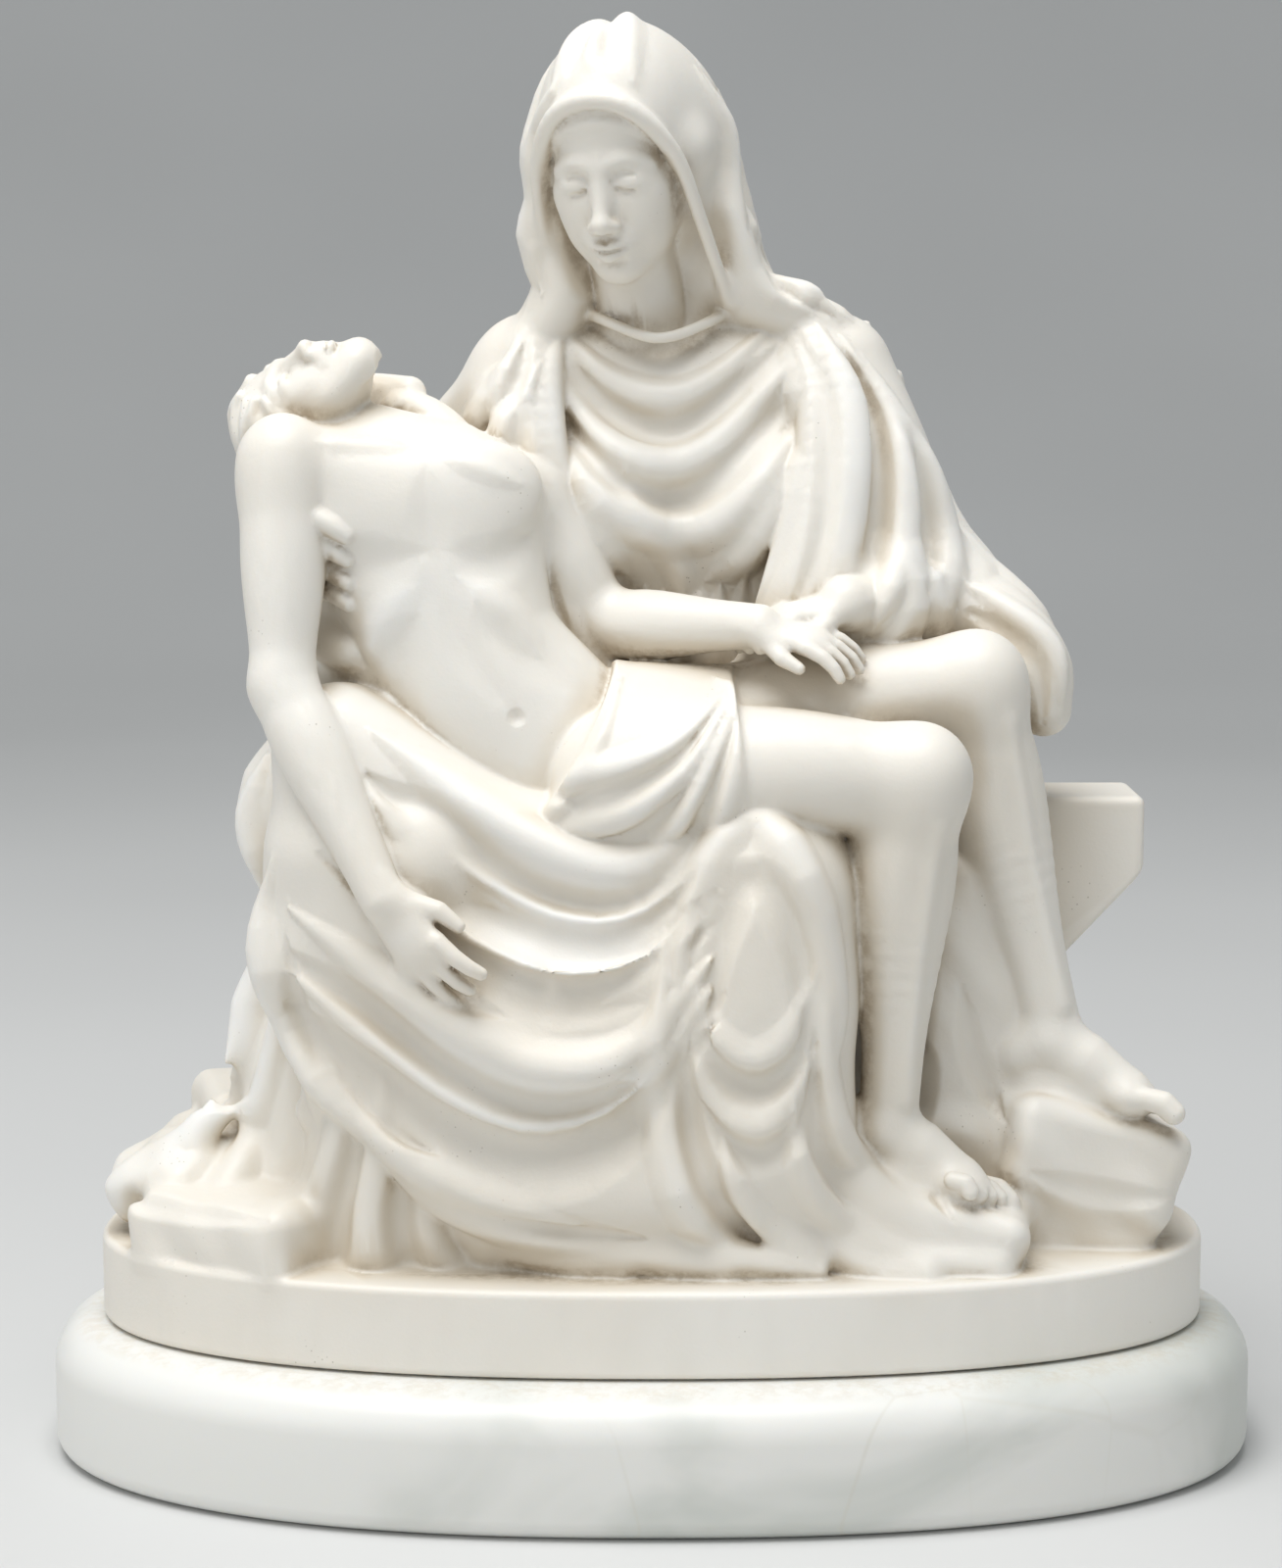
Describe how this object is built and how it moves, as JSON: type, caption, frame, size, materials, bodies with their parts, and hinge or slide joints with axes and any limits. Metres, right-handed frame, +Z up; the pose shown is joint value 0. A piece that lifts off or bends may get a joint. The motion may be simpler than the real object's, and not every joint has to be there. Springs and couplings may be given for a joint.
{
  "type": "pieta statuette",
  "caption": "Seated veiled mother with a dead man across her lap, cast in one with an oval base, on a separate rounded oval stone plinth.",
  "frame": {"origin": "middle of the plinth's underside, on the surface that it stands on", "axes": "+Z up; the group faces -Y; +X to the viewer's right, on the side of the man's feet"},
  "size_m": [0.1982, 0.1092, 0.2331],
  "materials": {
    "plinth_alabaster": "polished white alabaster with soft grey-green clouds, dusty on its top face",
    "cast_marble": "satin ivory cast marble with yellow-brown grime in its folds"
  },
  "bodies": {
    "root": {"plinth": "plinth_alabaster", "pieta_group": "cast_marble"}
  },
  "joints": []
}
